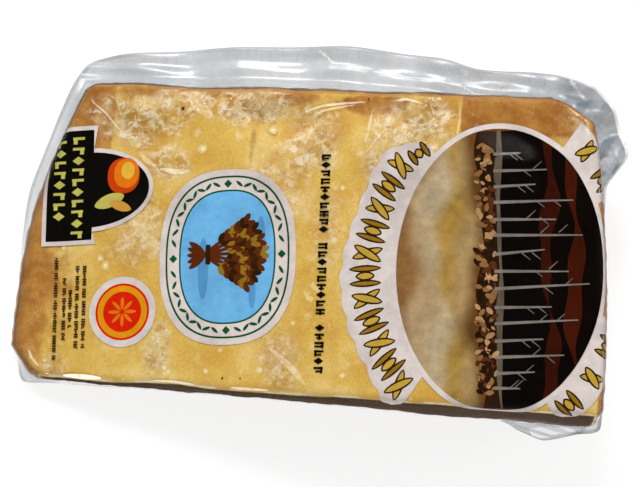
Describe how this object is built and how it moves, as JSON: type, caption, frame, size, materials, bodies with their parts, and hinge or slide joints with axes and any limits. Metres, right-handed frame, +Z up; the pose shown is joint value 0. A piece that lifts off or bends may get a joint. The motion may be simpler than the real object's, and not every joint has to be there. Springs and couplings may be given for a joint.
{
  "type": "vacuum packed wedge of hard cheese",
  "caption": "Wedge of hard, granular cheese in a clear printed vacuum pouch whose crumpled seam margin stands out all round; it rests flat on a broad cut face.",
  "frame": {"origin": "on the flat resting face, under the middle of the chunk", "axes": "+X from the wedge's thin tip to its thick heel, +Y towards the rind of the wheel's flat side, +Z up from the resting face"},
  "size_m": [0.2145, 0.1365, 0.0731],
  "materials": {
    "wrapped_cheese": "pale yellow crumbly cheese under tight clear film, glossy in patches",
    "film": "clear crinkled plastic film with a soft gloss",
    "print": "opaque coloured print on the inside of the film, glossy"
  },
  "bodies": {
    "root": {"sealed_pouch": "wrapped_cheese"}
  },
  "joints": []
}
